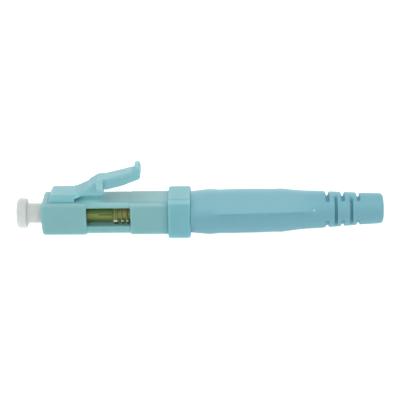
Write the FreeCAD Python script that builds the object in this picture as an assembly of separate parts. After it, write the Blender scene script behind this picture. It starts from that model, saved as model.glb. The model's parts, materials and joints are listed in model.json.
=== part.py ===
"""LC fibre connector of the field-fitted kind, with a cam-clamped mechanical splice, dust cap and boot.

The fibre runs along X. The origin is on the fibre axis at the plug's front face, +X runs to the boot
and +Z to the latch. All sizes are in millimetres. Each piece is one STEP file in parts/.
"""

import FreeCAD
import Part
import math
import os

Vector = FreeCAD.Vector

# ---- Fits -------------------------------------------------------------------------------------------
FIT_GAP = 0.03  # radial gap of a sliding or turning fit
SEAM_GAP = 0.02  # gap of a piece that is snapped or bonded in place
FIBRE_GAP = 0.008  # round the glass fibre

# ---- Plug body --------------------------------------------------------------------------------------
PLUG_SIZE = 4.52  # width and height of the interface's square plug
FRONT_LENGTH = 5.9  # front block, ahead of the waist
WAIST_LENGTH = 5.9  # slimmer stretch that holds the windows
REAR_LENGTH = 5.0  # rear block
REAR_SIZE = 4.6  # width and height of the rear block
WAIST_SIDE_STEP = 0.22  # the waist's sides lie this much inside the blocks
WAIST_FLOOR_STEP = 0.10  # and its underside this much
FRONT_CORNER = 0.26  # long-edge rounding of the front block
WAIST_CORNER = 0.3
REAR_CORNER = 0.45
NOSE_BEVEL = 0.2  # bevel of the front face's rim
STEP_BEVEL = 0.1  # bevel where a block steps down to the waist
FRONT_WALL = 2.6  # depth of the front wall, whose back face the ferrule holder rests on
NOSE_BORE_D = 2.84  # opening in the front wall
NOSE_LEAD_IN = 0.25  # chamfer of that opening
BODY_BORE_D = 3.5  # main bore behind the front wall
WINDOW_HEIGHT = 2.62
WINDOW_RISE = 0.10  # the windows' centre lies this far above the axis

# ---- Latch ------------------------------------------------------------------------------------------
BASE_SETBACK = 0.78  # from the front face to the foot of the latch base
BASE_RAKE = 0.44  # how far the base's front leans back over its height
BASE_HEIGHT = 1.0
BASE_WIDTH = 3.9
BASE_END = 4.5  # the base's rear face, where the lever flexes
BASE_ROUND = 0.34  # of the front top edge
BASE_SIDE_BEVEL = 0.28
HINGE_THICKNESS = 0.52  # of the lever at its root
KNUCKLE_R = 0.17  # round root of the lever, in the middle of that thickness
LATCH_SWING = 13.0  # degrees of travel when pressed
ARM_ROOT_WIDTH = 3.7
ARM_WIDTH = 3.2
ARM_TAPER_LENGTH = 2.4  # over which the arm narrows from its root
BEND_X = 4.87  # the arm's top leaves the base's level here and rises to the block
BEND_RISE = 0.12  # above the base's top, as are the next three rises
BLOCK_FOOT_X = 6.05  # foot of the block that carries the shoulders
BLOCK_FOOT_RISE = 0.73
BLOCK_BROW_X = 6.42
BLOCK_BROW_RISE = 1.21
BLOCK_CROWN_X = 7.45
BLOCK_CROWN_RISE = 1.82
BLOCK_UNDERSIDE_X = 5.72  # the arm's underside levels out here
BLOCK_UNDERSIDE_FALL = 0.08  # over its length, down to the arm
BLOCK_CLEARANCE = 0.92  # from the plug's top to the block's underside
SHOULDER_X = 8.28  # rear faces of the shoulders, which lock in the socket
SHOULDER_LENGTH = 0.98
SHOULDER_WIDTH = 3.56
SHOULDER_HEIGHT = 1.1
SHOULDER_TOP = 5.15  # height of the shoulders' top above the axis
SHOULDER_SLOPE = 0.12  # fall of the shoulders' top over their length
THUMB_WIDTH = 2.6
THUMB_RISE = 0.1  # of the thumb piece's top above the shoulders
THUMB_END = 13.24
THUMB_SLOPE = 13.9  # degrees
THUMB_THICKNESS = 1.44
THUMB_KNEE_X = 10.7  # beyond here the thumb piece thins towards its end
THUMB_END_THICKNESS = 1.05
LIP_TOP = 6.97  # above the axis
LIP_LENGTH = 0.8
LIP_LEAN = 0.2  # of the lip's rear face
LEVER_BEVEL = 0.12  # bevel of the thumb piece's long edges

# ---- Ferrule and dust cap ---------------------------------------------------------------------------
FIBRE_D = 0.125
FERRULE_D = 1.25
FERRULE_LENGTH = 6.4
FERRULE_PROUD = 1.9  # tip ahead of the plug's front face
FERRULE_CHAMFER = 0.18
CAP_SHANK_D = 2.68
CAP_KNOB_D = 4.06
CAP_KNOB_LENGTH = 1.38
CAP_END_WALL = 1.28  # solid end beyond the ferrule's tip
CAP_TIP_GAP = 0.4  # between the tip and the bottom of the cap's bore
CAP_REACH = 2.2  # how far the skirt goes in behind the front face
CAP_FRONT_ROUND = 0.4
CAP_BACK_BEVEL = 0.2
CAP_LEAD_IN = 0.2

# ---- Ferrule holder, spring and splice --------------------------------------------------------------
FLOAT_TRAVEL = 1.0  # how far the ferrule pushes back
HOLDER_HEX = 2.9  # across the flats of the front flange
HOLDER_HEX_LENGTH = 1.3
HOLDER_BARREL_D = 2.46
SPRING_FLANGE_X = 9.4  # front face of the flange that the spring pushes on
SPRING_FLANGE_D = 3.1
SPRING_FLANGE_LENGTH = 0.6
HOLDER_TAIL_D = 2.2
HOLDER_END = 19.6
VIEW_SLOT_LENGTH = 1.8  # narrow slots in the barrel's sides over the planks' front end
VIEW_SLOT_HEIGHT = 0.18
SPRING_WIRE_D = 0.28
SPRING_PITCH = 0.72
WIRE_SIDES = 6  # the wire's section is drawn with this many sides
SPRING_LENGTH = 3.6
PLANK_FRONT = 7.5
PLANK_D = 1.5  # across both planks
PLANK_END_GAP = 0.2  # from the planks' rear end to the holder's
FIBRE_SEAT = 0.02  # how far the lower plank's face lies below the fibre's centre
CLAMP_STROKE = 0.2  # how far the upper planks are pressed down
SPLICE_RIB_X = 17.05
SPLICE_RIB_LENGTH = 0.8
BUFFER_RIB_LENGTH = 0.6
RIB_SPACING = 0.2  # between the two ribs
RIB_WIDTH = 0.5
RIB_SIDE_GAP = 0.05

# ---- Backbone, cam and crimp tube -------------------------------------------------------------------
BACKBONE_D = 3.44
SNAP_HEIGHT = 0.2  # of the ring that snaps into the plug body's groove
SNAP_LENGTH = 0.6
SNAP_SETBACK = 1.0  # from the backbone's front face to the ring
COLLAR_SIZE = 5.64  # width and height of the cam's square collar
COLLAR_LENGTH = 3.0
COLLAR_GAP = 0.05  # between the plug body and the collar
COLLAR_CORNER = 0.62
COLLAR_BEVEL = 0.12
CAM_TURN = 90.0  # degrees
CAM_REST_MARGIN = 16.0  # degrees of full depth past the ribs at rest
CAM_STEPS = 8  # points that the cam's spiral is drawn through
LIP_RISE = 0.13  # of the lip that holds the cam on
CAM_LIP_LENGTH = 0.3
SPIGOT_D = 2.76
SPIGOT_LENGTH = 1.5
CRIMP_TUBE_WALL = 0.2
CRIMP_TUBE_LENGTH = 7.9
LINER_BORE_D = 1.0
LINER_FUNNEL_D = 2.0
LINER_FUNNEL_LENGTH = 1.4
LINER_PROUD = 0.2  # how far the liner's flange stands out of the crimp tube

# ---- Boot -------------------------------------------------------------------------------------------
BOOT_GAP = 0.04  # between the collar and the boot
BOOT_ROLL = -14.0  # degrees, how the boot was turned when it was pushed on
BOOT_MOUTH_D = 5.56
BOOT_RIDGE_D = 6.04
BOOT_RIDGE_AT = 2.3  # places along the boot are from its mouth
BOOT_GRIP_D = 5.89
BOOT_GRIP_AT = 3.8
BOOT_GRIP_END = 9.1
BOOT_NECK_D = 5.78
BOOT_NECK_AT = 11.0
BOOT_HEEL_D = 5.83
BOOT_HEEL_AT = 12.1
BOOT_WAIST_D = 5.30
BOOT_WAIST_AT = 14.4
BOOT_TAIL_D = 4.98
BOOT_TAIL_AT = 17.4
BOOT_END_D = 4.0
BOOT_LENGTH = 25.65
BOOT_MOUTH_BEVEL = 0.1
BOOT_END_ROUND = 0.5
BOOT_RECESS_LENGTH = 0.5  # mouth recess over the cam's lip
CABLE_BORE_D = 2.0
BOOT_CONE_LENGTH = 1.0  # from the crimp tube's bore down to the cable bore
SLOT_WIDTH = 0.40
SLOT_PITCH = 2.06  # between slots on the same sides
SLOT_FIRST_AT = 18.26
SLOT_PAIRS = 3  # of top and bottom slots; the side slots lie between them
SLOT_WEB = 2.4  # thickness left between a pair of slots
SLOT_DEPTH = 0.58  # down to the slots' round floor
LOWER_SLOT_DEPTH = 0.25  # of the slots on the underside

# ---- Drawing aids -----------------------------------------------------------------------------------
PAST = 1.0  # how far a cutter reaches past the face that it cuts
OVERLAP = 0.2  # how far two shapes that become one reach into each other

# ---- Sizes worked out from those above --------------------------------------------------------------
half_plug = PLUG_SIZE / 2
half_rear = REAR_SIZE / 2
waist_start = FRONT_LENGTH
rear_start = FRONT_LENGTH + WAIST_LENGTH
body_end = rear_start + REAR_LENGTH
base_top = half_plug + BASE_HEIGHT
hinge_z = base_top - HINGE_THICKNESS / 2
hinge_x = BASE_END

holder_front = FRONT_WALL + SEAM_GAP
ferrule_end = FERRULE_LENGTH - FERRULE_PROUD
cap_skirt_end = min(CAP_REACH, holder_front - 2 * FIT_GAP)
cap_bore_end = -FERRULE_PROUD - CAP_TIP_GAP
cap_front = cap_bore_end - CAP_END_WALL

spring_front = SPRING_FLANGE_X + SPRING_FLANGE_LENGTH
backbone_front = spring_front + SPRING_LENGTH
backbone_bore = HOLDER_TAIL_D + 2 * FIT_GAP
snap_start = backbone_front + SNAP_SETBACK
snap_d = BACKBONE_D + 2 * SNAP_HEIGHT
collar_start = body_end + COLLAR_GAP
collar_end = collar_start + COLLAR_LENGTH
lip_start = collar_end + SEAM_GAP
lip_d = BACKBONE_D + 2 * LIP_RISE + 2 * FIT_GAP
spigot_start = lip_start + CAM_LIP_LENGTH
spigot_end = spigot_start + SPIGOT_LENGTH
cam_bore = BACKBONE_D + 2 * FIT_GAP

plank_end = HOLDER_END - PLANK_END_GAP
plank_bore = PLANK_D + 2 * SEAM_GAP
splice_rib_end = SPLICE_RIB_X + SPLICE_RIB_LENGTH
buffer_rib_x = splice_rib_end + RIB_SPACING
buffer_rib_end = buffer_rib_x + BUFFER_RIB_LENGTH
plank_split = (splice_rib_end + buffer_rib_x) / 2
clamp_face = FIBRE_D / 2 + FIBRE_GAP + CLAMP_STROKE  # the upper planks' face when the splice is open
rib_top = BACKBONE_D / 2 + CLAMP_STROKE - FIT_GAP
slot_width = RIB_WIDTH + 2 * RIB_SIDE_GAP

crimp_bore = SPIGOT_D + 2 * SEAM_GAP
crimp_d = crimp_bore + 2 * CRIMP_TUBE_WALL
crimp_end = spigot_start + CRIMP_TUBE_LENGTH
boot_start = collar_end + BOOT_GAP
boot_end = boot_start + BOOT_LENGTH
boot_bore = crimp_d + 2 * FIT_GAP


# ---- Tools for making shapes ------------------------------------------------------------------------
def cylinder(start, end, diameter):
    """A round bar along the fibre axis."""
    return Part.makeCylinder(diameter / 2, end - start, Vector(start, 0, 0), Vector(1, 0, 0))


def cone(start, end, start_d, end_d):
    """A taper along the fibre axis."""
    return Part.makeCone(start_d / 2, end_d / 2, end - start, Vector(start, 0, 0), Vector(1, 0, 0))


def block(x_range, y_range, z_range):
    """A box between two values on each axis."""
    low = Vector(x_range[0], y_range[0], z_range[0])
    size = Vector(x_range[1], y_range[1], z_range[1]) - low
    return Part.makeBox(size.x, size.y, size.z, low)


def rounded_face(corners):
    """A face in the XZ plane from corners (x, z, radius); a radius above 0 rounds its corner."""
    return Part.Face(Part.Wire([curve.toShape() for curve in rounded_outline(corners)]))


def rounded_outline(corners):
    """The arcs and lines of a rounded face's outline."""
    points = [Vector(x, 0, z) for x, z, _ in corners]
    count = len(points)
    joins = []
    for i, (_, _, radius) in enumerate(corners):
        here = points[i]
        back = (points[i - 1] - here).normalize()
        ahead = (points[(i + 1) % count] - here).normalize()
        half_angle = back.getAngle(ahead) / 2
        if radius <= 0 or half_angle > math.pi / 2 - 1e-4:
            joins.append((here, None, here))
            continue
        reach = radius / math.tan(half_angle)
        middle = (back + ahead).normalize() * (radius / math.sin(half_angle) - radius)
        joins.append((here + back * reach, here + middle, here + ahead * reach))
    curves = []
    for i, (entry, middle, leave) in enumerate(joins):
        if middle is not None:
            curves.append(Part.Arc(entry, middle, leave))
        next_entry = joins[(i + 1) % count][0]
        if (next_entry - leave).Length > 1e-6:
            curves.append(Part.LineSegment(leave, next_entry))
    return curves


def lathe(corners):
    """A solid turned about the fibre axis from an outline of (x, radius from the axis, rounding)."""
    curves = [c.toBSpline() if isinstance(c, Part.Arc) else c for c in rounded_outline(corners)]
    face = Part.Face(Part.Wire([curve.toShape() for curve in curves]))
    return face.revolve(Vector(0, 0, 0), Vector(1, 0, 0), 360)


def plate(corners, width):
    """A side outline extruded to a width centred on the XZ plane."""
    face = rounded_face(corners)
    face.translate(Vector(0, -width / 2, 0))
    return face.extrude(Vector(0, width, 0))


def square_bar(start, end, width, top, bottom, corner):
    """A bar along X with rounded long edges; top and bottom are heights above the axis."""
    half = width / 2
    outline = [(-half, bottom), (half, bottom), (half, top), (-half, top)]
    face = rounded_face([(y, z, corner) for y, z in outline])
    face.rotate(Vector(0, 0, 0), Vector(0, 0, 1), 90)
    face.translate(Vector(start, 0, 0))
    return face.extrude(Vector(end - start, 0, 0))


def edges_at(shape, x):
    """The edges that lie in the plane at x."""
    boxes = [(edge, edge.BoundBox) for edge in shape.Edges]
    return [edge for edge, box in boxes if abs(box.XMin - x) < 1e-4 and abs(box.XMax - x) < 1e-4]


def break_end(shape, x, size):
    """Bevels the rim of the end face at x."""
    return shape.makeChamfer(size, edges_at(shape, x))


# ---- Plug body and latch ----------------------------------------------------------------------------
def make_plug_housing():
    waist_width = PLUG_SIZE - 2 * WAIST_SIDE_STEP
    waist_bottom = -half_plug + WAIST_FLOOR_STEP
    waist_ends = (waist_start - OVERLAP, rear_start + OVERLAP)
    waist = square_bar(*waist_ends, waist_width, half_plug, waist_bottom, WAIST_CORNER)
    front = square_bar(0, waist_start, PLUG_SIZE, half_plug, -half_plug, FRONT_CORNER)
    front = break_end(front, 0, NOSE_BEVEL)
    front = break_end(front, waist_start, STEP_BEVEL)
    rear = square_bar(rear_start, body_end, REAR_SIZE, half_rear, -half_rear, REAR_CORNER)
    rear = break_end(rear, rear_start, STEP_BEVEL)
    body = front.fuse([waist, rear, make_latch_base()])

    nose = cylinder(-PAST, FRONT_WALL + OVERLAP, NOSE_BORE_D)
    lead_in = cone(0, NOSE_LEAD_IN, NOSE_BORE_D + 2 * NOSE_LEAD_IN, NOSE_BORE_D)
    bore = cylinder(FRONT_WALL, body_end + PAST, BODY_BORE_D)
    groove = cylinder(snap_start - FIT_GAP, snap_start + SNAP_LENGTH + FIT_GAP, snap_d + 2 * FIT_GAP)
    low = WINDOW_RISE - WINDOW_HEIGHT / 2
    window = block((waist_start, rear_start), (-PLUG_SIZE, PLUG_SIZE), (low, low + WINDOW_HEIGHT))
    return body.cut([nose, lead_in, bore, groove, window])


def make_latch_base():
    """The raised base on the plug's top that the lever flexes from, with the lever's socket cut out."""
    foot = half_plug - FRONT_CORNER
    rake_angle = math.atan2(BASE_HEIGHT, BASE_RAKE)
    foot_x = BASE_SETBACK - (half_plug - foot) / math.tan(rake_angle)
    relief = math.tan(math.radians(LATCH_SWING + 2)) * (hinge_z - foot)
    base = plate(
        [
            (foot_x, foot, 0),
            (BASE_SETBACK + BASE_RAKE, base_top, BASE_ROUND),
            (hinge_x, base_top, 0),
            (hinge_x, hinge_z, 0),
            (hinge_x - relief, foot, 0),
        ],
        BASE_WIDTH,
    )
    side_edges = []
    for edge in base.Edges:
        box = edge.BoundBox
        on_side = abs(abs(box.YMin) - BASE_WIDTH / 2) < 1e-4 and box.YLength < 1e-4
        if on_side and box.ZMin > base_top - 1e-4:
            side_edges.append(edge)
    base = base.makeChamfer(BASE_SIDE_BEVEL, side_edges)
    socket_r = KNUCKLE_R + SEAM_GAP
    socket = Part.makeCylinder(socket_r, 2 * BASE_WIDTH, Vector(hinge_x, -BASE_WIDTH, hinge_z), Vector(0, 1, 0))
    return base.cut(socket)


def make_latch_lever():
    """The lever that the thumb presses: a thin root, a deep shoulder block with two side shoulders,
    and a sloping thumb piece with an upturned lip."""
    root_x = hinge_x + SEAM_GAP
    root_bottom = base_top - HINGE_THICKNESS
    underside = half_plug + BLOCK_CLEARANCE
    shoulder_front = SHOULDER_X - SHOULDER_LENGTH
    shoulder_brow = SHOULDER_TOP - SHOULDER_SLOPE
    arm = plate(
        [
            (root_x, root_bottom, 0),
            (BLOCK_UNDERSIDE_X, underside - BLOCK_UNDERSIDE_FALL, 1.5),
            (SHOULDER_X, underside, 0.1),
            (SHOULDER_X, SHOULDER_TOP, 0.1),
            (BLOCK_CROWN_X, base_top + BLOCK_CROWN_RISE, 0.6),
            (BLOCK_BROW_X, base_top + BLOCK_BROW_RISE, 0.2),
            (BLOCK_FOOT_X, base_top + BLOCK_FOOT_RISE, 0.4),
            (BEND_X, base_top + BEND_RISE, 0.8),
            (root_x, base_top, 0),
        ],
        ARM_ROOT_WIDTH,
    )
    half_root = ARM_ROOT_WIDTH / 2
    half_arm = ARM_WIDTH / 2
    taper_x = root_x + ARM_TAPER_LENGTH
    outline = [
        Vector(root_x, -half_root, 0),
        Vector(taper_x, -half_arm, 0),
        Vector(SHOULDER_X, -half_arm, 0),
        Vector(SHOULDER_X, half_arm, 0),
        Vector(taper_x, half_arm, 0),
        Vector(root_x, half_root, 0),
    ]
    plan = Part.Face(Part.makePolygon(outline + outline[:1])).extrude(Vector(0, 0, 3 * PLUG_SIZE))
    arm = arm.common(plan)

    slope = math.tan(math.radians(THUMB_SLOPE))

    def thumb_top(x):
        return SHOULDER_TOP + THUMB_RISE + (x - SHOULDER_X) * slope

    lip_x = THUMB_END - LIP_LENGTH
    thumb_front = shoulder_front + OVERLAP
    thumb = plate(
        [
            (thumb_front, thumb_top(SHOULDER_X) - THUMB_THICKNESS, 0),
            (SHOULDER_X, thumb_top(SHOULDER_X) - THUMB_THICKNESS, 0),
            (THUMB_KNEE_X, thumb_top(THUMB_KNEE_X) - THUMB_THICKNESS, 2.5),
            (THUMB_END, thumb_top(THUMB_END) - THUMB_END_THICKNESS, 0.35),
            (THUMB_END, thumb_top(THUMB_END), 0.4),
            (THUMB_END - LIP_LEAN, LIP_TOP, 0.24),
            (lip_x, LIP_TOP, 0.22),
            (lip_x, thumb_top(lip_x), 0.25),
            (SHOULDER_X, thumb_top(SHOULDER_X), 0),
            (thumb_front, shoulder_brow, 0),
        ],
        THUMB_WIDTH,
    )
    long_edges = [e for e in thumb.Edges if e.BoundBox.YLength < 1e-4 and e.BoundBox.XMin > SHOULDER_X - 1e-4]
    thumb = thumb.makeChamfer(LEVER_BEVEL, long_edges)
    shoulders = plate(
        [
            (shoulder_front, SHOULDER_TOP - SHOULDER_HEIGHT, 0.15),
            (SHOULDER_X, SHOULDER_TOP - SHOULDER_HEIGHT, 0),
            (SHOULDER_X, SHOULDER_TOP - SEAM_GAP, 0),
            (shoulder_front, shoulder_brow - SEAM_GAP, 0.15),
        ],
        SHOULDER_WIDTH,
    )
    knuckle = Part.makeCylinder(
        KNUCKLE_R, ARM_ROOT_WIDTH, Vector(hinge_x, -ARM_ROOT_WIDTH / 2, hinge_z), Vector(0, 1, 0)
    )
    return arm.fuse([thumb, shoulders, knuckle]).removeSplitter()


# ---- Ferrule, holder and dust cap -------------------------------------------------------------------
def make_ferrule():
    bar = cylinder(-FERRULE_PROUD, ferrule_end, FERRULE_D)
    bar = bar.makeChamfer(FERRULE_CHAMFER, edges_at(bar, -FERRULE_PROUD))
    return bar.cut(cylinder(-FERRULE_PROUD - PAST, ferrule_end + PAST, FIBRE_D + 2 * FIBRE_GAP))


def make_fibre_stub():
    """Glass fibre bonded in the ferrule; its inner end waits in the splice for the cable's fibre."""
    splice_point = (SPLICE_RIB_X + splice_rib_end) / 2
    return cylinder(-FERRULE_PROUD, splice_point, FIBRE_D)


def make_ferrule_holder():
    """Clear amber moulding: hexagon seat, barrel, spring flange and a tail that houses the planks."""
    hex_radius = HOLDER_HEX / math.sqrt(3)
    corners = [Vector(holder_front, hex_radius, 0)]
    for i in range(1, 6):
        angle = math.radians(60 * i)
        corners.append(Vector(holder_front, hex_radius * math.cos(angle), hex_radius * math.sin(angle)))
    hexagon = Part.Face(Part.makePolygon(corners + corners[:1])).extrude(Vector(HOLDER_HEX_LENGTH, 0, 0))
    hexagon = hexagon.common(cylinder(holder_front, holder_front + HOLDER_HEX_LENGTH, BODY_BORE_D - 2 * FIT_GAP))
    barrel = cylinder(holder_front, spring_front, HOLDER_BARREL_D)
    flange = cylinder(SPRING_FLANGE_X, spring_front, SPRING_FLANGE_D)
    flange = break_end(flange, SPRING_FLANGE_X, SPRING_FLANGE_LENGTH / 4)
    tail = cylinder(SPRING_FLANGE_X, HOLDER_END, HOLDER_TAIL_D)
    body = hexagon.fuse([barrel, flange, tail])

    socket_end = ferrule_end + SEAM_GAP
    socket = cylinder(holder_front - PAST, socket_end, FERRULE_D + 2 * SEAM_GAP)
    passage = cylinder(socket_end - OVERLAP, PLANK_FRONT, FIBRE_D + 6 * FIBRE_GAP)
    chamber = cylinder(PLANK_FRONT - SEAM_GAP, HOLDER_END + PAST, plank_bore)
    slot_ends = (SPLICE_RIB_X - RIB_SIDE_GAP, HOLDER_END + PAST)
    rib_slot = block(slot_ends, (-slot_width / 2, slot_width / 2), (0, PLUG_SIZE))
    view_low = clamp_face - VIEW_SLOT_HEIGHT
    view_slot = block(
        (PLANK_FRONT, PLANK_FRONT + VIEW_SLOT_LENGTH), (-PLUG_SIZE, PLUG_SIZE), (view_low, clamp_face)
    )
    return body.cut([socket, passage, chamber, rib_slot, view_slot])


def make_dust_cap():
    knob_end = cap_front + CAP_KNOB_LENGTH
    cap = lathe(
        [
            (cap_front, 0, 0),
            (cap_front, CAP_KNOB_D / 2, CAP_FRONT_ROUND),
            (knob_end - CAP_BACK_BEVEL, CAP_KNOB_D / 2, 0),
            (knob_end, CAP_KNOB_D / 2 - CAP_BACK_BEVEL, 0),
            (knob_end, CAP_SHANK_D / 2, 0),
            (cap_skirt_end, CAP_SHANK_D / 2, 0),
            (cap_skirt_end, 0, 0),
        ]
    )
    bore_d = FERRULE_D + 2 * SEAM_GAP
    bore = cylinder(cap_bore_end, cap_skirt_end + PAST, bore_d)
    lead_in = cone(cap_skirt_end - CAP_LEAD_IN, cap_skirt_end, bore_d, bore_d + 2 * CAP_LEAD_IN)
    return cap.cut([bore, lead_in])


# ---- Splice planks and spring -----------------------------------------------------------------------
def plank_half(start, end, low, high):
    """The part of the planks' round section between two heights."""
    return cylinder(start, end, PLANK_D).common(block((start, end), (-PLANK_D, PLANK_D), (low, high)))


def make_lower_plank():
    plank = plank_half(PLANK_FRONT, plank_end, -PLANK_D, -FIBRE_SEAT)
    depth = (FIBRE_D / 2 + FIBRE_GAP) * math.sqrt(2)
    front = PLANK_FRONT - PAST
    groove = [Vector(front, -depth, 0), Vector(front, 0, -depth), Vector(front, depth, 0)]
    reach = Vector(plank_end + PAST - front, 0, 0)
    cutter = Part.Face(Part.makePolygon(groove + groove[:1])).extrude(reach)
    return plank.cut(cutter)


def rib(start, end):
    """The key on an upper plank that reaches out through the slots to the cam."""
    return block((start, end), (-RIB_WIDTH / 2, RIB_WIDTH / 2), (clamp_face, rib_top))


def upper_plank(start, end, rib_start, rib_end):
    """A clamp plank, trimmed so that it can move down by the stroke, with its rib."""
    room = cylinder(start, end, PLANK_D)
    lowered = room.copy()
    lowered.translate(Vector(0, 0, CLAMP_STROKE))
    above = block((start, end), (-PLANK_D, PLANK_D), (clamp_face, PLANK_D))
    return room.common([lowered]).common([above]).fuse([rib(rib_start, rib_end)])


def make_upper_plank():
    return upper_plank(PLANK_FRONT, plank_split - SEAM_GAP, SPLICE_RIB_X, splice_rib_end)


def make_buffer_plank():
    return upper_plank(plank_split + SEAM_GAP, plank_end, buffer_rib_x, buffer_rib_end)


def make_coil_spring():
    """Wire wound between the holder's flange and the backbone, with open ends."""
    wire_r = SPRING_WIRE_D / 2
    mean_radius = SPRING_FLANGE_D / 2 - wire_r
    wound = SPRING_LENGTH - 2 * SEAM_GAP - SPRING_WIRE_D
    helix = Part.makeHelix(SPRING_PITCH, wound, mean_radius)
    corners = []
    for i in range(WIRE_SIDES):
        angle = 2 * math.pi * i / WIRE_SIDES
        corners.append(Vector(mean_radius + wire_r * math.cos(angle), 0, wire_r * math.sin(angle)))
    section = Part.Wire(Part.makePolygon(corners + corners[:1]))
    coil = Part.Wire(helix).makePipeShell([section], True, True)
    coil.rotate(Vector(0, 0, 0), Vector(0, 1, 0), 90)
    coil.translate(Vector(spring_front + SEAM_GAP + wire_r, 0, 0))
    return coil


# ---- Backbone, cam, crimp tube and liner ------------------------------------------------------------
def make_backbone():
    """Inner body: spring seat, snap ring, the journal that the cam turns on, its lip, and the spigot."""
    journal = cylinder(backbone_front, spigot_start, BACKBONE_D)
    snap = cylinder(snap_start, snap_start + SNAP_LENGTH, snap_d)
    snap = snap.makeChamfer(SNAP_HEIGHT * 0.8, edges_at(snap, snap_start))
    lip = cylinder(lip_start, spigot_start, lip_d)
    lip = lip.makeChamfer(LIP_RISE, edges_at(lip, spigot_start))
    spigot = cylinder(spigot_start, spigot_end, SPIGOT_D)
    body = journal.fuse([snap, lip, spigot])
    bore = cylinder(backbone_front - PAST, spigot_end + PAST, backbone_bore)
    slot_end = min(buffer_rib_end + FLOAT_TRAVEL + RIB_SIDE_GAP, collar_end)
    slot_ends = (backbone_front - PAST, slot_end)
    rib_slot = block(slot_ends, (-slot_width / 2, slot_width / 2), (0, PLUG_SIZE))
    return body.cut([bore, rib_slot])


def make_cam_collar():
    """Square collar on the backbone. A spiral recess in its bore clears the ribs at rest, and its ramp
    presses them down as the collar is turned."""
    half = COLLAR_SIZE / 2
    collar = square_bar(collar_start, collar_end, COLLAR_SIZE, half, -half, COLLAR_CORNER)
    collar = break_end(collar, collar_start, COLLAR_BEVEL)
    collar = break_end(collar, collar_end, COLLAR_BEVEL)
    bore = cylinder(collar_start - PAST, collar_end + PAST, cam_bore)

    deep = BACKBONE_D / 2 + FIT_GAP + CLAMP_STROKE
    spiral = []
    for i in range(CAM_STEPS + 1):
        share = i / CAM_STEPS
        spiral.append(cam_point(90 - CAM_TURN * share, deep - CLAMP_STROKE * share))
    start_edge = cam_point(90 + CAM_REST_MARGIN, deep)
    shoulder = cam_point(90 + CAM_REST_MARGIN, BACKBONE_D / 4)
    curve = Part.BSplineCurve()
    curve.interpolate(spiral)
    full_depth = Part.Arc(start_edge, cam_point(90 + CAM_REST_MARGIN / 2, deep), spiral[0])
    inner = cam_point(90 - CAM_TURN, BACKBONE_D / 4)
    outline = [
        full_depth.toShape(),
        curve.toShape(),
        Part.LineSegment(spiral[-1], inner).toShape(),
        Part.LineSegment(inner, shoulder).toShape(),
        Part.LineSegment(shoulder, start_edge).toShape(),
    ]
    recess = Part.Face(Part.Wire(outline)).extrude(Vector(COLLAR_LENGTH + 2 * PAST, 0, 0))
    return collar.cut([bore, recess])


def cam_point(angle, radius):
    """A point just ahead of the collar, at an angle from +Y towards +Z."""
    turn = math.radians(angle)
    return Vector(collar_start - PAST, radius * math.cos(turn), radius * math.sin(turn))


def make_crimp_tube():
    tube = cylinder(spigot_start + SEAM_GAP, crimp_end, crimp_d)
    return tube.cut(cylinder(spigot_start - PAST, crimp_end + PAST, crimp_bore))


def make_lead_in_liner():
    """Plastic liner in the crimp tube, with a funnel that guides the buffered fibre into the splice."""
    start = spigot_end + SEAM_GAP
    end = crimp_end + LINER_PROUD
    liner = cylinder(start, crimp_end, crimp_bore - 2 * SEAM_GAP)
    flange = cylinder(crimp_end + SEAM_GAP, end, crimp_d)
    neck = cylinder(start, end, LINER_FUNNEL_D + LINER_PROUD)
    bore = cylinder(start - PAST, end + PAST, LINER_BORE_D)
    funnel = cone(end - LINER_FUNNEL_LENGTH, end, LINER_BORE_D, LINER_FUNNEL_D)
    return liner.fuse([neck, flange]).cut([bore, funnel])


# ---- Boot -------------------------------------------------------------------------------------------
def slot_pair(at, upper_depth, lower_depth):
    """Two slots cut from opposite sides of the boot, above and below the web, down to round floors."""
    x_range = (boot_start + at - SLOT_WIDTH / 2, boot_start + at + SLOT_WIDTH / 2)
    side = (-BOOT_RIDGE_D, BOOT_RIDGE_D)
    upper = block(x_range, side, (SLOT_WEB / 2, BOOT_RIDGE_D))
    lower = block(x_range, side, (-BOOT_RIDGE_D, -SLOT_WEB / 2))
    return [upper.cut(slot_floor(upper_depth)), lower.cut(slot_floor(lower_depth))]


def slot_floor(depth):
    """The core that the slots stop at, which tapers with the boot's tail."""
    ends = (boot_start + BOOT_TAIL_AT, boot_end)
    return cone(*ends, BOOT_TAIL_D - 2 * depth, BOOT_END_D - 2 * depth)


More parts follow.
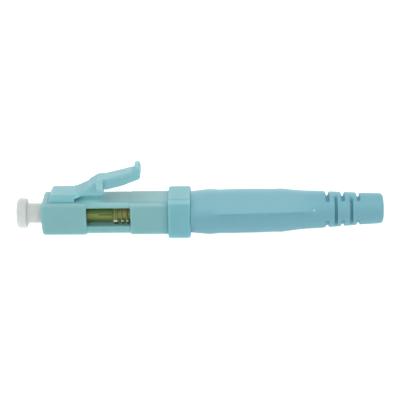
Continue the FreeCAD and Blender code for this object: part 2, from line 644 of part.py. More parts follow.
def make_boot():
    stations = [
        (0, BOOT_MOUTH_D - 2 * BOOT_MOUTH_BEVEL, 0),
        (BOOT_MOUTH_BEVEL, BOOT_MOUTH_D, 0),
        (BOOT_RIDGE_AT, BOOT_RIDGE_D, 0),
        (BOOT_GRIP_AT, BOOT_GRIP_D, 0),
        (BOOT_GRIP_END, BOOT_GRIP_D, 0),
        (BOOT_NECK_AT, BOOT_NECK_D, 0),
        (BOOT_HEEL_AT, BOOT_HEEL_D, 0),
        (BOOT_WAIST_AT, BOOT_WAIST_D, 0),
        (BOOT_TAIL_AT, BOOT_TAIL_D, 0),
        (BOOT_LENGTH, BOOT_END_D, BOOT_END_ROUND),
    ]
    outline = [(boot_start, 0, 0)]
    outline += [(boot_start + at, diameter / 2, rounding) for at, diameter, rounding in stations]
    outline += [(boot_end, 0, 0)]
    boot = lathe(outline)

    top_cuts = []
    side_cuts = []
    for i in range(SLOT_PAIRS):
        top_cuts += slot_pair(SLOT_FIRST_AT + i * SLOT_PITCH, SLOT_DEPTH, LOWER_SLOT_DEPTH)
    for i in range(SLOT_PAIRS - 1):
        side_cuts += slot_pair(SLOT_FIRST_AT + (i + 0.5) * SLOT_PITCH, SLOT_DEPTH, SLOT_DEPTH)
    for cut in side_cuts:
        cut.rotate(Vector(0, 0, 0), Vector(1, 0, 0), 90)
    tube_room = crimp_end + LINER_PROUD + FIT_GAP
    recess = cylinder(boot_start - PAST, boot_start + BOOT_RECESS_LENGTH, lip_d + 6 * FIT_GAP)
    socket = cylinder(boot_start, tube_room, boot_bore)
    taper = cone(tube_room, tube_room + BOOT_CONE_LENGTH, boot_bore, CABLE_BORE_D)
    cable_bore = cylinder(tube_room, boot_end + PAST, CABLE_BORE_D)
    boot = boot.cut([recess, socket, taper, cable_bore] + top_cuts + side_cuts)
    boot.rotate(Vector(0, 0, 0), Vector(1, 0, 0), BOOT_ROLL)
    return boot


PIECES = {
    "plug_housing": make_plug_housing,
    "latch_lever": make_latch_lever,
    "dust_cap": make_dust_cap,
    "ferrule": make_ferrule,
    "fibre_stub": make_fibre_stub,
    "ferrule_holder": make_ferrule_holder,
    "lower_splice_plank": make_lower_plank,
    "upper_splice_plank": make_upper_plank,
    "buffer_plank": make_buffer_plank,
    "coil_spring": make_coil_spring,
    "backbone": make_backbone,
    "cam_collar": make_cam_collar,
    "crimp_tube": make_crimp_tube,
    "lead_in_liner": make_lead_in_liner,
    "boot": make_boot,
}

os.makedirs("parts", exist_ok=True)
for name, make in PIECES.items():
    shape = make()
    shape.exportStep("parts/" + name + ".step")
    print(name, "solids", len(shape.Solids), "valid", shape.isValid(), "volume", round(shape.Volume, 3))
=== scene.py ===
"""Dresses the LC fibre connector: its moulded housing and latch, cap, collar, boot, splice and stage."""

import json
import math

import bpy
from bpy.props import FloatProperty, FloatVectorProperty, IntProperty, PointerProperty
from mathutils import Matrix, Vector

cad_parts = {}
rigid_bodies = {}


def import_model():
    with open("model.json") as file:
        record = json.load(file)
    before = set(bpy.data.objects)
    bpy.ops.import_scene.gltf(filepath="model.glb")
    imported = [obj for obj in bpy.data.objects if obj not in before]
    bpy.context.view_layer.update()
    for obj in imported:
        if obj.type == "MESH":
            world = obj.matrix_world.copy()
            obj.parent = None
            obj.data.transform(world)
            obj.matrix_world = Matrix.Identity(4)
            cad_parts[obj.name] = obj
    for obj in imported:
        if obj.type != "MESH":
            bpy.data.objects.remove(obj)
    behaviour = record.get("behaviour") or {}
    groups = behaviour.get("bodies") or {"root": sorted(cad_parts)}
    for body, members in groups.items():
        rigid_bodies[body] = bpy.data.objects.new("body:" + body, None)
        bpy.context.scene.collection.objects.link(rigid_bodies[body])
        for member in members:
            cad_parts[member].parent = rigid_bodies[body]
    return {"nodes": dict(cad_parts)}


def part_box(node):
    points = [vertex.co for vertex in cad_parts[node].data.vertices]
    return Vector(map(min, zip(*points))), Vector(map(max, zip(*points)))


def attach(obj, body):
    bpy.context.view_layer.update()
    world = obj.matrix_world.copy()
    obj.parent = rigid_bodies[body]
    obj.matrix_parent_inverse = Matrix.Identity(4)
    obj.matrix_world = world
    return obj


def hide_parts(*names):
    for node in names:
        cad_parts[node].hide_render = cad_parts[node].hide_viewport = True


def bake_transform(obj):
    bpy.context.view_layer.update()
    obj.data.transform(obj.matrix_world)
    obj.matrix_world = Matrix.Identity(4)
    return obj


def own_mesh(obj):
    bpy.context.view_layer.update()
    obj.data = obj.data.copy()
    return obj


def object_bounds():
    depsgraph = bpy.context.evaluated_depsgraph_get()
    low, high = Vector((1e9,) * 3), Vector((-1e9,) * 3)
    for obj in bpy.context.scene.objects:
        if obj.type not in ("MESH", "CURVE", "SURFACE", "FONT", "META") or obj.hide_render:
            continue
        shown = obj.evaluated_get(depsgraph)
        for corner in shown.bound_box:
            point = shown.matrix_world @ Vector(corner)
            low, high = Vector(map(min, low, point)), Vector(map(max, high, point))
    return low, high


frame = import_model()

bl_info = {
    "name": "LC Fibre Connector",
    "version": (1, 0, 0),
    "blender": (4, 5, 0),
    "location": "View3D > Sidebar > Connector",
    "description": "Models and finishes a field-fitted LC fibre connector on its packed frame",
    "category": "Add Mesh",
}

CAD_BOX = [list(corner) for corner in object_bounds()]
MM = 0.001  # shapes are modelled in millimetres and scaled to metres at the end


def box_mm(node):
    """The lowest and highest corner of a CAD node in millimetres."""
    low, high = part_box(node)
    return low / MM, high / MM


HOUSING_LOW, HOUSING_HIGH = box_mm("plug_housing")
LEVER_LOW = box_mm("latch_lever")[0]
COLLAR_LOW, COLLAR_HIGH = box_mm("cam_collar")
CAP_LOW, CAP_HIGH = box_mm("dust_cap")
BOOT_LOW, BOOT_HIGH = box_mm("boot")
SPRING_LOW, SPRING_HIGH = box_mm("coil_spring")
BODY_TOP = -HOUSING_LOW.z  # the square body is centred on the fibre

# ---- Places on the connector, in millimetres --------------------------------------------------------
FACING = 0.35  # the least part of a normal that counts as facing a direction
CUT_REACH = 5  # from the fibre to a cutter's sides, beyond every piece
NOSE_BOW, NOSE_REACH = 0.17, 2.4  # how far the nose bulges, and how far off that eases out
SOLE_GAIN, WAIST_GAIN = 0.09, 0.06  # how far the underside and the waist stand out from the solid
WAIST = (6.2, 11.4)  # the slimmer stretch of the body, within its steps
WAIST_REACH = 0.7
BORE_RADIUS = 1.77  # of the body's main bore
EDGE_RADIUS = 0.3  # of the long rounded edges that catch the light
LEDGE = (5.1, 7.0)  # the body's top beneath the latch's arm

LATCH_FRONT, LATCH_SIDE, LATCH_SUNK = 0.6, 1.96, 0.15  # the base, which starts inside the body
BRIDGE_HALF, BRIDGE_SIDE, BRIDGE_DEPTH = 0.3, 1.84, 0.5  # joins the base and the arm
ARM_START, ARM_RISE, ARM_REACH = (4.9, 5.6), 0.12, 1.4  # the arm's top swells at its root
THUMB_START, THUMB_LOW = 4.2, 3.4  # the thumb piece: behind the lever's front, and above the fibre
THUMB_GAIN = 0.14  # how much thicker it is beneath than the solid
ROUND_END = 7.0  # the latch's edges are rounded more in front of here,
ROUND_LOW = 0.3  # from this far above the body's top
ROOT = (4.6, 6.6)  # the underside of the arm, from its root
LUG_ALONG, LUG_UP, LUG_SIDE = (7.45, 8.2), (3.75, 4.9), 1.45  # the thin lug at the side of the latch

FLANGE_FRONT, FLANGE_BACK = 9.4, 10.0  # the holder's flange, which the spring pushes on
LIP_FRONT, LIP_SIDE, LIP_HALF, LIP_UP = 7.4, 0.96, 0.08, (0.05, 0.31)  # the lips along the holder's slit
KNOB_LENGTH = 1.38  # of the dust cap's knob

BOOT_OVERRUN = 0.1  # how far the boot runs past the end of its solid
BOOT_RECESS = (0.5, 2.0)  # depth and radius of the recess in the boot's mouth
BOOT_END = (0.5, 1.55)  # size of the rounding at the boot's end, and the radius of its centre
SEAM_PLAIN = (4.0, 7.4)  # where the boot's parting line shows as a fine step, from the mouth,
SEAM_DARK = (10.6, 14.8)  # as a dark line of painted shade,
SEAM_SHARP = (4.2, 15.0)  # and as a sharp change of shade
BRUISE = (5.7, 1.05, 0.5)  # a darker spot: from the mouth, below the parting line, and radius
NICK = (16.42, 0.26, 0.24)  # a pale spot: from the mouth, above the parting line, and radius
BOOT_PROFILE = [  # distance from the mouth, and radius
    (0.0, 2.785), (0.5, 2.85), (1.3, 2.92), (2.2, 3.03), (2.8, 3.03), (3.9, 2.945), (4.8, 2.965),
    (8.8, 2.96), (10.8, 2.905), (11.4, 2.91), (12.1, 2.93), (12.8, 2.845), (14.2, 2.69),
    (14.9, 2.625), (15.6, 2.575), (17.4, 2.505), (18.8, 2.40), (20.8, 2.29), (22.8, 2.15),
    (24.3, 2.09),
]
BOOT_SIDES, SLOT_SIDES, CAP_SIDES, WIRE_SIDES = 128, 96, 96, 12
SPRING_STEPS = 32  # in each turn of the spring


# ---- Settings ---------------------------------------------------------------------------------------
class ConnectorSizes(bpy.types.PropertyGroup):
    """Sizes of the modelled pieces, in millimetres."""

    voxel: FloatProperty(name="Voxel", description="Mesh size of the moulded pieces", default=0.08)
    boot_voxel: FloatProperty(name="Boot voxel", description="Mesh size of the boot", default=0.097)
    soften: IntProperty(name="Soften", description="Smoothing passes that round the edges", default=4)
    boot_soften: IntProperty(name="Boot soften", description="Smoothing passes on the boot", default=3)
    slot_width: FloatProperty(name="Slot width", description="Width of the slots' floor", default=0.16)
    slot_flare: FloatProperty(name="Slot flare", description="How far a slot's rim widens", default=0.19)
    slot_depth: FloatProperty(name="Slot depth", description="Down to the slots' floor", default=0.64)
    lower_depth: FloatProperty(name="Lower depth", description="Depth of the slots beneath", default=0.36)
    slot_first: FloatProperty(name="First slot", description="From the boot's mouth", default=18.26)
    slot_pitch: FloatProperty(name="Slot pitch", description="Between slots on one side", default=2.06)
    slot_web: FloatProperty(name="Slot web", description="Thickness left between two slots", default=2.4)
    boot_roll: FloatProperty(name="Boot roll", description="Turn of the boot, degrees", default=-14.0)
    boot_tilt: FloatProperty(name="Boot tilt", description="Lift of the soft boot, degrees", default=0.7)
    cable_bore: FloatProperty(name="Cable bore", description="Diameter at the boot's rear", default=2.0)
    tube_bore: FloatProperty(name="Tube bore", description="Diameter at the boot's front", default=3.46)
    tube_reach: FloatProperty(name="Tube reach", description="Depth of the front bore", default=8.5)
    spring_wire: FloatProperty(name="Spring wire", description="Diameter of the wire", default=0.28)
    spring_pitch: FloatProperty(name="Spring pitch", description="Between two turns", default=0.72)
    edge_reach: FloatProperty(name="Edge reach", description="Drawn past a joint, then cut", default=0.3)


class ConnectorColours(bpy.types.PropertyGroup):
    """Colours of the finishes."""

    aqua: FloatVectorProperty(
        name="Aqua", description="Housing", subtype="COLOR", default=(0.188, 0.41, 0.425)
    )
    latch: FloatVectorProperty(
        name="Latch", description="Latch moulding", subtype="COLOR", default=(0.196, 0.437, 0.475)
    )
    collar: FloatVectorProperty(
        name="Collar", description="Cam collar", subtype="COLOR", default=(0.160, 0.412, 0.462)
    )
    boot: FloatVectorProperty(
        name="Boot", description="Soft boot", subtype="COLOR", default=(0.187, 0.425, 0.487)
    )
    cap: FloatVectorProperty(
        name="Cap", description="Milky dust cap", subtype="COLOR", default=(0.56, 0.60, 0.59)
    )
    amber: FloatVectorProperty(
        name="Amber", description="Ferrule holder", subtype="COLOR", default=(0.17, 0.22, 0.05)
    )
    steel: FloatVectorProperty(
        name="Steel", description="Spring wire", subtype="COLOR", default=(0.22, 0.19, 0.06)
    )


class ConnectorStage(bpy.types.PropertyGroup):
    """Camera and light, in millimetres and watts."""

    stand_x: FloatProperty(name="Stand", description="Camera's place along the fibre", default=25.0)
    distance: FloatProperty(name="Distance", description="Camera to the fibre", default=188.0)
    elevation: FloatProperty(name="Elevation", description="Camera's height angle, degrees", default=22.7)
    aim_x: FloatProperty(name="Aim along", description="Aim point along the fibre", default=21.1)
    aim_z: FloatProperty(name="Aim height", description="Aim point above the fibre", default=1.70)
    roll: FloatProperty(name="Roll", description="Camera's roll, degrees", default=-0.95)
    lens: FloatProperty(name="Lens", description="Focal length", default=126.0)
    key: FloatProperty(name="Key light", description="Large soft light overhead, watts", default=0.42)
    front: FloatProperty(name="Front light", description="Low soft light in front, watts", default=0.04)
    back: FloatProperty(name="Back light", description="Bright backdrop light, watts", default=0.48)
    fill: FloatProperty(name="Room light", description="Light from all round", default=0.82)
    glow: FloatProperty(name="Floor glow", description="Light from under the pale floor", default=0.93)


# ---- Shader maths -----------------------------------------------------------------------------------
class Value:
    """A socket in a finish's node tree; arithmetic on it adds Math nodes."""

    def __init__(self, tree, socket):
        self.tree = tree
        self.socket = socket

    def math(self, operation, *others):
        """A Math node on values and numbers."""
        node = self.tree.nodes.new("ShaderNodeMath")
        node.operation = operation
        for place, item in zip(node.inputs, others):
            if isinstance(item, Value):
                self.tree.links.new(item.socket, place)
            else:
                place.default_value = item
        return Value(self.tree, node.outputs[0])

    def __add__(self, other):
        return self.math("ADD", self, other)

    def __radd__(self, other):
        return self.math("ADD", other, self)

    def __sub__(self, other):
        return self.math("SUBTRACT", self, other)

    def __rsub__(self, other):
        return self.math("SUBTRACT", other, self)

    def __mul__(self, other):
        return self.math("MULTIPLY", self, other)

    def __rmul__(self, other):
        return self.math("MULTIPLY", other, self)

    def __truediv__(self, other):
        return self.math("DIVIDE", self, other)

    def __abs__(self):
        return self.math("ABSOLUTE", self)


class Finish:
    """A node material, named for what it finishes."""

    def __init__(self, name, **constants):
        self.material = bpy.data.materials.new(name)
        self.material.use_nodes = True
        self.tree = self.material.node_tree
        self.shader = self.tree.nodes["Principled BSDF"]
        for socket, value in constants.items():
            self.shader.inputs[socket.replace("_", " ")].default_value = value
        place = self.node("ShaderNodeTexCoord", output="Object")
        split = self.tree.nodes.new("ShaderNodeSeparateXYZ")
        self.tree.links.new(place.socket, split.inputs[0])
        self.x, self.y, self.z = (Value(self.tree, output) / MM for output in split.outputs)

    def node(self, kind, settings=None, sockets=None, output=0):
        """Adds a node: its settings first, then the values or links of its sockets."""
        node = self.tree.nodes.new(kind)
        for name, value in (settings or {}).items():
            setattr(node, name, value)
        for name, item in (sockets or {}).items():
            if isinstance(item, Value):
                self.tree.links.new(item.socket, node.inputs[name])
            else:
                node.inputs[name].default_value = item
        return Value(self.tree, node.outputs[output])

    def noise(self, size, detail=2.0, stretch=(1, 1, 1)):
        """Noise from 0 to 1 with features of a size in millimetres, drawn out by the stretch."""
        axes = zip("XYZ", (self.x, self.y, self.z), stretch)
        scaled = {name: axis / (size * drawn_out) for name, axis, drawn_out in axes}
        placed = self.node("ShaderNodeCombineXYZ", {}, scaled)
        return self.node("ShaderNodeTexNoise", {}, {"Vector": placed, "Scale": 1.0, "Detail": detail})

    def mix(self, factor, first, second):
        """The colour between two, by a factor from 0 to 1."""
        return self.node(
            "ShaderNodeMix", {"data_type": "RGBA"}, {0: factor, 6: first, 7: second}, output=2
        )

    def ramp(self, value, low, high):
        """0 at low and 1 at high, eased."""
        return self.node(
            "ShaderNodeMapRange",
            {"interpolation_type": "SMOOTHSTEP"},
            {"Value": value, "From Min": low, "From Max": high},
        )

    def between(self, value, low, high, soft):
        """1 between low and high, fading to 0 outside them over a soft width."""
        return self.ramp(value, low - soft, low) * (1 - self.ramp(value, high, high + soft))

    def spot(self, first, second, radius):
        """1 at the middle of a round spot and 0 beyond its radius, from two offsets from its middle."""
        away = first * first + second * second
        return 1 - self.ramp(away, 0.0, radius * radius)

    def set(self, socket, value):
        """Links a value to a socket of the shader."""
        self.tree.links.new(value.socket, self.shader.inputs[socket])

    def bump(self, height, depth):
        """Raises the surface by a height from 0 to 1, to a depth in millimetres."""
        normal = self.node("ShaderNodeBump", {}, {"Height": height, "Distance": depth * MM})
        self.set("Normal", normal)


def rgba(colour, share=1.0, tint=(1, 1, 1)):
    """A colour and its full alpha, brighter or darker by a share, and tinted."""
    return (*[channel * share * part for channel, part in zip(colour, tint)], 1.0)


TEAL_SCATTER = (0.5, 1.0, 1.0)  # how far red, green and blue travel inside aqua plastic
UPPER_PAINTED_SHEEN_TINT = (1.10, 1.04, 1.03)  # painted light and sheen on the boot above its parting line, as from light falling from above
# painted shade on the boot below its parting line
LOWER_PAINTED_SHADE_TINT = (0.80, 0.86, 0.88)
TAIL_TINT = (0.92, 0.99, 1.01)  # towards the boot's end
RIM_TINT = (1.7, 1.22, 1.2)  # where a broad rounded edge catches the light
NEAR_COLLAR_SHADE_TINT = (0.72, 0.92, 1.02)  # painted shade on the housing just before the collar
BORE_SHADE_TINT = (0.74, 0.92, 0.72)  # painted shade inside the body's main bore
# painted light on the body's top, in the shade under the latch's arm
LEDGE_PAINTED_LIGHT_TINT = (1.45, 1.85, 1.9)
# painted highlight on the lug's face
LUG_HIGHLIGHT_TINT = (1.34, 1.12, 1.1)
FOOT_PAINTED_SHADE_TINT = (0.85, 1.14, 1.12)  # painted teal shade on the sides of the latch's base, where they meet the body
# painted light in the shade under the arm's root
ROOT_PAINTED_LIGHT_TINT = (1.35, 1.8, 1.75)
BEHIND_PAINTED_LIGHT_TINT = (1.05, 1, 1.1)  # painted light on the holder's barrel inside the spring, where it lies in shade
DEEP_TINT = (0.42, 0.68, 0.32)  # the upper part of the holder, in the window's shade
SEAM_COLOUR = (0.13, 0.10, 0.045, 1)  # on the holder's flange
# painted highlight line along the lower side of the spring's zone
HIGHLIGHT_LINE_COLOUR = (0.86, 0.92, 0.62, 1)
LINE_SLANT = (0.386, 0.923)  # sideways and upward parts of the direction across the pale line
LINE_BAND = (-1.26, -1.09)  # where the line starts and ends in that direction
LINE_FOOT = (-1.36, -1.28)  # the painted brown shade below it is full at the first and gone at the second


def aqua_finish(name, colour, tone=None):
    """Satin aqua plastic, a little uneven in tint, with a fine moulded grain."""
    finish = Finish(
        name,
        Subsurface_Weight=0.65,
        Subsurface_Radius=TEAL_SCATTER,
        Subsurface_Scale=0.0015,
        Specular_IOR_Level=0.45,
    )
    clouds = finish.noise(2.4, 3.0)
    base = finish.mix(clouds, rgba(colour, 0.95), rgba(colour, 1.05))
    finish.set("Base Color", tone(finish, base, colour) if tone else base)
    finish.set("Roughness", 0.40 + 0.10 * finish.noise(0.9))
    finish.bump(finish.noise(0.11, 4.0), 0.002)
    return finish


def housing_tone(finish, base, colour):
    """Paints shade on the body before the collar and in its bore, and paints light on its rims and on its
    ledge under the latch.
    """
    # painted shade where the collar shades the body
    near = finish.ramp(finish.x, COLLAR_LOW.x - 1.1, COLLAR_LOW.x)
    base = finish.mix(near * 0.8, base, rgba(colour, 1.0, NEAR_COLLAR_SHADE_TINT))
    # painted shade inside the bore
    outside = finish.ramp(
        finish.y * finish.y + finish.z * finish.z, BORE_RADIUS**2, (BORE_RADIUS + 0.07) ** 2
    )
    base = finish.mix(1 - outside, base, rgba(colour, 1.0, BORE_SHADE_TINT))
    # painted highlight along the rounded rims
    pale = rim(finish, BODY_TOP, 0.45) * (0.35 + 0.45 * finish.ramp(finish.x, 6.5, 8.5) - 0.5 * near)
    base = finish.mix(pale, base, rgba(colour, 1.0, RIM_TINT))
    # painted light on the ledge under the latch
    on_top = finish.ramp(finish.z, BODY_TOP - 0.12, BODY_TOP - 0.04)
    ledge = finish.between(finish.x, *LEDGE, 1.9) * on_top
    ledge = ledge * (1 - finish.ramp(abs(finish.y), 1.5, 2.05))
    return finish.mix(ledge, base, rgba(colour, 1.0, LEDGE_PAINTED_LIGHT_TINT))


def rim(finish, top, reach):
    """1 along the rounded top of a square piece's sides, fading over a reach below it."""
    start = top - EDGE_RADIUS
    return finish.ramp(finish.z, start - reach, start) * (1 - finish.ramp(finish.z, top - 0.16, top))


def latch_tone(finish, base, colour):
    """Paints a highlight on the lug at the block's side, light into the shade under the arm's root, and
    teal shade on the base's foot.
    """
    # painted highlight on the lug
    along = finish.between(finish.x, *LUG_ALONG, 0.1)
    up = finish.between(finish.z, *LUG_UP, 0.12)
    side = finish.ramp(abs(finish.y), LUG_SIDE, LUG_SIDE + 0.15)
    base = finish.mix(along * up * side, base, rgba(colour, 1.0, LUG_HIGHLIGHT_TINT))
    # painted teal shade at the base's foot
    low = 1 - finish.ramp(finish.z, BODY_TOP + 0.15, BODY_TOP + 0.6)
    foot = low * finish.ramp(abs(finish.y), 1.7, 1.8)
    base = finish.mix(foot, base, rgba(colour, 1.0, FOOT_PAINTED_SHADE_TINT))
    # painted light under the arm's root
    root = finish.between(finish.x, *ROOT, 0.15) * (1 - finish.ramp(finish.z, 2.9, 3.2))
    return finish.mix(root, base, rgba(colour, 1.0, ROOT_PAINTED_LIGHT_TINT))


def collar_tone(finish, base, colour):
    """Paints a highlight on the broad rounding along the top of the sides."""
    return finish.mix(rim(finish, COLLAR_HIGH.z, 0.5), base, rgba(colour, 1.0, RIM_TINT))


def boot_finish():
    """Matt elastomer with painted light above its parting line and painted shade below it; the line shows
    here and there as a fine step, with a painted highlight on its crest and painted shade in its groove.
    """
    sizes = bpy.context.scene.connector_sizes
    colour = bpy.context.scene.connector_colours.boot
    finish = Finish(
        "boot_rubber",
        Subsurface_Weight=0.3,
        Subsurface_Radius=TEAL_SCATTER,
        Subsurface_Scale=0.0007,
        Specular_IOR_Level=0.4,
    )
    roll = math.radians(sizes.boot_roll)
    lift = (finish.x - BOOT_LOW.x) * math.radians(sizes.boot_tilt)
    across = (finish.z - lift) * math.cos(roll) - finish.y * math.sin(roll)
    across = across + (finish.noise(1.8, 2.0, (2.5, 1, 1)) - 0.5) * 0.12
    along = finish.x - BOOT_LOW.x
    plain = finish.between(along, *SEAM_PLAIN, 0.6)
    dark = finish.between(along, *SEAM_DARK, 0.5)
    crest = (1 - finish.ramp(abs(across - 0.12), 0.0, 0.12)) * plain
    trough = (1 - finish.ramp(abs(across + 0.06), 0.0, 0.16)) * (0.7 * plain + 0.9 * dark)
    sharp = finish.between(along, *SEAM_SHARP, 1.8)
    shade = finish.ramp(across, -0.12, 0.3) * sharp + finish.ramp(across, -0.8, 1.2) * (1 - sharp)
    clouds = finish.noise(2.6, 3.0)
    upper = finish.mix(clouds, rgba(colour, 1.0, UPPER_PAINTED_SHEEN_TINT), rgba(colour, 1.07, UPPER_PAINTED_SHEEN_TINT))
    lower = finish.mix(clouds, rgba(colour, 0.93, LOWER_PAINTED_SHADE_TINT), rgba(colour, 0.99, LOWER_PAINTED_SHADE_TINT))
    tail = finish.ramp(along, 13.0, 18.0) * 0.8
    upper = finish.mix(tail, upper, rgba(colour, 1.0, TAIL_TINT))
    # painted light above the parting line and painted shade below it
    base = finish.mix(shade, lower, upper)
    # painted shade in the seam's groove
    base = finish.mix(trough * 0.5, base, rgba(colour, 0.68))
    near = 1 - finish.ramp(finish.y, -0.8, -0.4)
    place, below, radius = BRUISE
    bruise = finish.spot((along - place) * 1.4, across + below, radius) * near
    base = finish.mix(bruise * 0.4, base, rgba(colour, 0.75))
    place, above, radius = NICK
    nick = finish.spot(along - place, (across - above) * 1.5, radius) * near
    base = finish.mix(nick * 0.9, base, rgba(colour, 1.6))
    # painted highlight along the seam's crest
    finish.set("Base Color", finish.mix(crest * 0.3, base, rgba(colour, 1.3)))
    finish.set("Roughness", 0.46 + 0.12 * finish.noise(0.7))
    finish.bump(crest * 0.4 - trough * 0.3 + finish.noise(0.16, 4.0) * 0.12, 0.02)
    return finish


def cap_finish():
    """Milky translucent plastic."""
    colours = bpy.context.scene.connector_colours
    finish = Finish(
        "milky_cap",
        Subsurface_Weight=0.5,
        Subsurface_Radius=(1, 1, 1),
        Subsurface_Scale=0.001,
        Specular_IOR_Level=0.3,
    )
    clouds = finish.noise(1.4, 2.0)
    finish.set("Base Color", finish.mix(clouds, rgba(colours.cap, 0.94), rgba(colours.cap, 1.06)))
    finish.set("Roughness", 0.34 + 0.14 * finish.noise(0.6))
    finish.bump(finish.noise(0.2, 3.0), 0.003)
    return finish


def painted_highlight_line(finish, base, share=1.0):
    """A painted highlight line along the lower side of the spring's zone, and painted brown shade below
    it.
    """
    brown = rgba(bpy.context.scene.connector_colours.steel, 0.7)
    sideways, upward = LINE_SLANT
    low = finish.z * upward - abs(finish.y) * sideways
    line = finish.between(low, *LINE_BAND, 0.04)
    base = finish.mix((1 - finish.ramp(low, *LINE_FOOT)) * 0.8 * share, base, brown)
    return finish.mix(line * share, base, HIGHLIGHT_LINE_COLOUR)


def amber_finish(name, share=1.0):
    """Clear amber resin over the aqua bore, which reads olive."""
    amber = bpy.context.scene.connector_colours.amber
    finish = Finish(name, Specular_IOR_Level=0.4, Transmission_Weight=0.12, Coat_Weight=0.1)
    flow = finish.noise(0.7, 3.0, (3.0, 1, 1))
    base = finish.mix(flow, rgba(amber, 0.8 * share), rgba(amber, 1.25 * share))
    # painted light on the barrel inside the spring
    behind = finish.ramp(finish.x, FLANGE_BACK - 0.04, FLANGE_BACK + 0.04)
    base = finish.mix(behind, base, rgba(amber, 1.75 * share, BEHIND_PAINTED_LIGHT_TINT))
    from_flange = finish.ramp(finish.x, FLANGE_FRONT - 0.2, FLANGE_FRONT + 0.2)
    deep = finish.ramp(finish.z, 0.26, 0.46) * (1 - 0.75 * from_flange)
    base = finish.mix(deep, base, rgba(amber, share, DEEP_TINT))
    seam = finish.between(finish.x, FLANGE_BACK - 0.26, FLANGE_BACK - 0.16, 0.06)
    base = finish.mix(seam * 0.7, base, SEAM_COLOUR)
    zone = finish.ramp(finish.x, FLANGE_FRONT - 0.1, FLANGE_FRONT + 0.1)
    # painted highlight line and painted shade below it, from the flange back
    finish.set("Base Color", painted_highlight_line(finish, base, zone))
    finish.set("Roughness", 0.16 + 0.12 * finish.noise(0.5))
    finish.bump(finish.noise(0.5, 2.0, (3.0, 1, 1)), 0.004)
    return finish


def metal_finish(name, colour, rough, stretch=(1, 1, 1), metallic=1.0, tone=None):
    """Drawn metal with fine lines along its length."""
    finish = Finish(name, Metallic=metallic)
    lines = finish.noise(0.08, 3.0, stretch)
    base = finish.mix(lines, rgba(colour, 0.85), rgba(colour, 1.1))
    finish.set("Base Color", tone(finish, base) if tone else base)
    finish.set("Roughness", rough + 0.12 * lines)
    finish.bump(lines, 0.001)
    return finish


def ceramic_finish():
    """Polished white zirconia."""
    finish = Finish("zirconia", Subsurface_Weight=0.1, Subsurface_Scale=0.0004, Coat_Weight=0.5)
    clouds = finish.noise(0.8)
    finish.set("Base Color", finish.mix(clouds, (0.84, 0.82, 0.77, 1), (0.9, 0.89, 0.85, 1)))
    finish.set("Roughness", 0.12 + 0.06 * clouds)
    return finish


def glass_finish():
    """The fibre's silica."""
    finish = Finish("fibre_glass", Transmission_Weight=0.9, IOR=1.46)
    clouds = finish.noise(0.3)
    finish.set("Base Color", finish.mix(clouds, (0.9, 0.95, 0.95, 1), (0.97, 1, 1, 1)))
    finish.set("Roughness", 0.04 + 0.04 * clouds)
    return finish


# ---- Modelling helpers ------------------------------------------------------------------------------
def deselect():
    for item in bpy.context.view_layer.objects:
        item.select_set(False)


def choose(piece):
    """Makes a piece the only selected and active object."""
    deselect()
    piece.select_set(True)
    bpy.context.view_layer.objects.active = piece


def added(name):
    """The object that an operator has just added, named."""
    piece = bpy.context.object
    piece.name = name
    return piece


def copied(node, name):
    """A copy of a CAD node's mesh in millimetres, with its corners merged."""
    piece = bpy.data.objects.new(name, frame["nodes"][node].data.copy())
    bpy.context.scene.collection.objects.link(piece)
    piece.data.materials.clear()
    piece.data.transform(Matrix.Scale(1 / MM, 4))
    choose(piece)
    bpy.ops.object.mode_set(mode="EDIT")
    bpy.ops.mesh.select_all(action="SELECT")
    bpy.ops.mesh.remove_doubles(threshold=1e-4)
    bpy.ops.object.mode_set(mode="OBJECT")
    return piece


def cube(name, low, high):
    """A box between two corners, in millimetres."""
    low, high = Vector(low), Vector(high)
    bpy.ops.mesh.primitive_cube_add(size=1, location=(low + high) / 2)
    piece = added(name)
    piece.scale = high - low
    bpy.ops.object.transform_apply(location=True, rotation=True, scale=True)
    return piece


def slice_cube(name, start, end):
    """A box right across the connector, between two places along it."""
    return cube(name, (start, -CUT_REACH, -CUT_REACH), (end, CUT_REACH, CUT_REACH))


def drawn(piece, test, offset, reach=0.0):
    """Moves the vertices whose place and normal pass a test, and eases those within a reach along."""
    choose(piece)
    bpy.ops.object.mode_set(mode="EDIT")
    bpy.ops.mesh.select_mode(type="VERT")
    bpy.ops.mesh.select_all(action="DESELECT")
    bpy.ops.object.mode_set(mode="OBJECT")
    for vertex in piece.data.vertices:
        vertex.select = test(vertex.co, vertex.normal)
    bpy.ops.object.mode_set(mode="EDIT")
    easing = {}
    if reach:
        easing = {
            "use_proportional_edit": True,
            "proportional_edit_falloff": "SMOOTH",
            "proportional_size": reach,
        }
    bpy.ops.transform.translate(value=offset, **easing)
    bpy.ops.object.mode_set(mode="OBJECT")


def modified(piece, kind, **settings):
    """Adds a modifier with its settings and applies it."""
    choose(piece)
    modifier = piece.modifiers.new(kind.title(), kind)
    for name, value in settings.items():
        setattr(modifier, name, value)
    bpy.ops.object.modifier_apply(modifier=modifier.name)


def carve(piece, tool, operation="DIFFERENCE"):
    """Cuts or keeps a piece by another, which is then removed."""
    modified(piece, "BOOLEAN", operation=operation, object=tool, solver="EXACT")
    bpy.data.objects.remove(tool)


def joined(name, pieces):
    """Several meshes as one object."""
    deselect()
    for piece in pieces:
        piece.select_set(True)
    bpy.context.view_layer.objects.active = pieces[0]
    bpy.ops.object.join()
    pieces[0].name = name
    return pieces[0]


def moulded(piece, voxel, passes):
    """Remeshes a piece and smooths it, which rounds every edge as a mould does."""
    modified(piece, "REMESH", mode="VOXEL", voxel_size=voxel)
    modified(piece, "SMOOTH", factor=0.5, iterations=passes)


